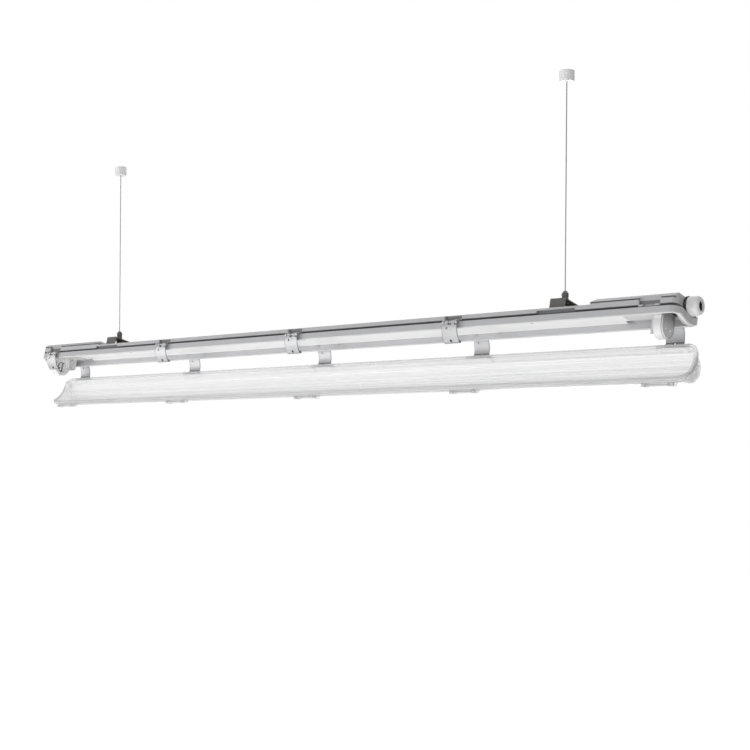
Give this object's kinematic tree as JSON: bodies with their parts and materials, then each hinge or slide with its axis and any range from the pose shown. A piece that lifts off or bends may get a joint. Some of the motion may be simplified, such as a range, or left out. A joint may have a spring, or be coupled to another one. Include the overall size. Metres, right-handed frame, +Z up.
{
  "type": "hanging shop light",
  "caption": "Slim sealed tube light hung on two steel wires, its ribbed clear cover hanging open from steel clips along one side.",
  "frame": {"origin": "on the ceiling plane, midway between the screw holes of the two ceiling bases", "axes": "+X along the fitting towards its cable gland, +Y towards the side whose clips carry the open cover, +Z up"},
  "size_m": [1.2845, 0.077, 0.4145],
  "materials": {
    "canopy_plastic": "light grey moulded plastic, satin",
    "seal_rubber": "pale foamed seal",
    "tray_paint": "white painted sheet, satin",
    "screw_steel": "bright plated",
    "terminal_plastic": "white",
    "contact_brass": "bright",
    "live_lead": "brown insulation",
    "neutral_lead": "blue insulation",
    "holder_plastic": "white",
    "holder_cap_plastic": "grey",
    "gland_plastic": "pale grey",
    "gland_rubber": "black",
    "clip_steel": "stainless sheet",
    "clear_plastic": "clear, with fine prism ribs inside",
    "bracket_steel": "dark grey coating",
    "gripper_steel": "dark plated",
    "wire_steel": "stranded steel wire",
    "cup_paint": "pale grey paint",
    "base_steel": "plated"
  },
  "bodies": {
    "suspension": {"ceiling_base_left": "base_steel", "ceiling_base_right": "base_steel", "ceiling_cup_left": "cup_paint", "ceiling_cup_right": "cup_paint", "wire_stop_left": "wire_steel", "wire_stop_right": "wire_steel", "wire_left": "wire_steel", "wire_right": "wire_steel", "gripper_left": "gripper_steel", "gripper_right": "gripper_steel"},
    "fitting": {"canopy": "canopy_plastic", "seal": "seal_rubber", "gear_tray": "tray_paint", "tray_screws": "screw_steel", "terminal_block": "terminal_plastic", "terminal_clamps": "contact_brass", "lead_live": "live_lead", "lead_neutral": "neutral_lead", "lampholder_left": "holder_plastic", "lampholder_right": "holder_plastic", "contacts_left": "contact_brass", "contacts_right": "contact_brass", "holder_cap_left": "holder_cap_plastic", "holder_cap_right": "holder_cap_plastic", "holder_foot_left": "tray_paint", "holder_foot_right": "tray_paint", "gland_body": "gland_plastic", "gland_washer": "gland_rubber", "gland_locknut": "gland_plastic", "gland_seal": "gland_rubber", "clip_brackets": "clip_steel", "suspension_bracket_left": "bracket_steel", "suspension_bracket_right": "bracket_steel"},
    "left_collar": {"release_collar_left": "gripper_steel"},
    "right_collar": {"release_collar_right": "gripper_steel"},
    "left_rotor": {"rotor_left": "holder_plastic"},
    "right_rotor": {"rotor_right": "holder_plastic"},
    "gland_nut": {"gland_cap": "gland_plastic"},
    "far_bails": {"far_links": "clip_steel"},
    "far_clips": {"far_clip_1": "clip_steel", "far_clip_2": "clip_steel", "far_clip_3": "clip_steel", "far_clip_4": "clip_steel", "far_clip_5": "clip_steel"},
    "open_cover": {"cover": "clear_plastic"},
    "near_bail_1": {"near_link_1": "clip_steel"},
    "near_clip_1": {"near_clip_1": "clip_steel"},
    "near_bail_2": {"near_link_2": "clip_steel"},
    "near_clip_2": {"near_clip_2": "clip_steel"},
    "near_bail_3": {"near_link_3": "clip_steel"},
    "near_clip_3": {"near_clip_3": "clip_steel"},
    "near_bail_4": {"near_link_4": "clip_steel"},
    "near_clip_4": {"near_clip_4": "clip_steel"}
  },
  "joints": [
    {"name": "fitting_tilt", "type": "hinge", "parent": "suspension", "child": "fitting", "pos_m": [0, 0, -0.306], "axis": [1, 0, 0], "range_deg": [-4, 30]},
    {"name": "left_wire_release", "type": "slide", "parent": "suspension", "child": "left_collar", "axis": [0, 0, -1], "range_m": [0, 0.0014], "stiffness_N_per_m": 800},
    {"name": "right_wire_release", "type": "slide", "parent": "suspension", "child": "right_collar", "axis": [0, 0, -1], "range_m": [0, 0.0014], "stiffness_N_per_m": 800},
    {"name": "left_lamp_rotor", "type": "hinge", "parent": "fitting", "child": "left_rotor", "pos_m": [-0.6082, -0.00819, -0.34149], "axis": [1, 0, 0], "range_deg": [0, 90]},
    {"name": "right_lamp_rotor", "type": "hinge", "parent": "fitting", "child": "right_rotor", "pos_m": [0.5972, -0.00819, -0.34149], "axis": [1, 0, 0], "range_deg": [0, 90]},
    {"name": "gland_nut_turn", "type": "hinge", "parent": "fitting", "child": "gland_nut", "pos_m": [0.642, -0.00291, -0.31859], "axis": [1, 0, 0], "continuous": true},
    {"name": "far_bail_swing", "type": "hinge", "parent": "fitting", "child": "far_bails", "pos_m": [0, 0.02468, -0.32979], "axis": [1, 0, 0], "range_deg": [0, 118]},
    {"name": "far_clip_swing", "type": "hinge", "parent": "far_bails", "child": "far_clips", "pos_m": [0, 0.02883, -0.33495], "axis": [1, 0, 0], "range_deg": [-12, 40]},
    {"name": "cover_swing", "type": "hinge", "parent": "far_clips", "child": "open_cover", "pos_m": [0, 0.03114, -0.36145], "axis": [-1, 0, 0], "range_deg": [0, 45]},
    {"name": "near_bail_1_swing", "type": "hinge", "parent": "fitting", "child": "near_bail_1", "pos_m": [-0.594, -0.03261, -0.31656], "axis": [-1, 0, 0], "range_deg": [0, 118]},
    {"name": "near_clip_1_swing", "type": "hinge", "parent": "near_bail_1", "child": "near_clip_1", "pos_m": [-0.594, -0.0386, -0.31938], "axis": [-1, 0, 0], "range_deg": [-10, 80]},
    {"name": "near_bail_2_swing", "type": "hinge", "parent": "fitting", "child": "near_bail_2", "pos_m": [-0.297, -0.03261, -0.31656], "axis": [-1, 0, 0], "range_deg": [0, 118]},
    {"name": "near_clip_2_swing", "type": "hinge", "parent": "near_bail_2", "child": "near_clip_2", "pos_m": [-0.297, -0.0386, -0.31938], "axis": [-1, 0, 0], "range_deg": [-10, 100]},
    {"name": "near_bail_3_swing", "type": "hinge", "parent": "fitting", "child": "near_bail_3", "pos_m": [0, -0.03261, -0.31656], "axis": [-1, 0, 0], "range_deg": [0, 118]},
    {"name": "near_clip_3_swing", "type": "hinge", "parent": "near_bail_3", "child": "near_clip_3", "pos_m": [0, -0.0386, -0.31938], "axis": [-1, 0, 0], "range_deg": [-10, 100]},
    {"name": "near_bail_4_swing", "type": "hinge", "parent": "fitting", "child": "near_bail_4", "pos_m": [0.297, -0.03261, -0.31656], "axis": [-1, 0, 0], "range_deg": [0, 118]},
    {"name": "near_clip_4_swing", "type": "hinge", "parent": "near_bail_4", "child": "near_clip_4", "pos_m": [0.297, -0.0386, -0.31938], "axis": [-1, 0, 0], "range_deg": [-10, 100]}
  ]
}
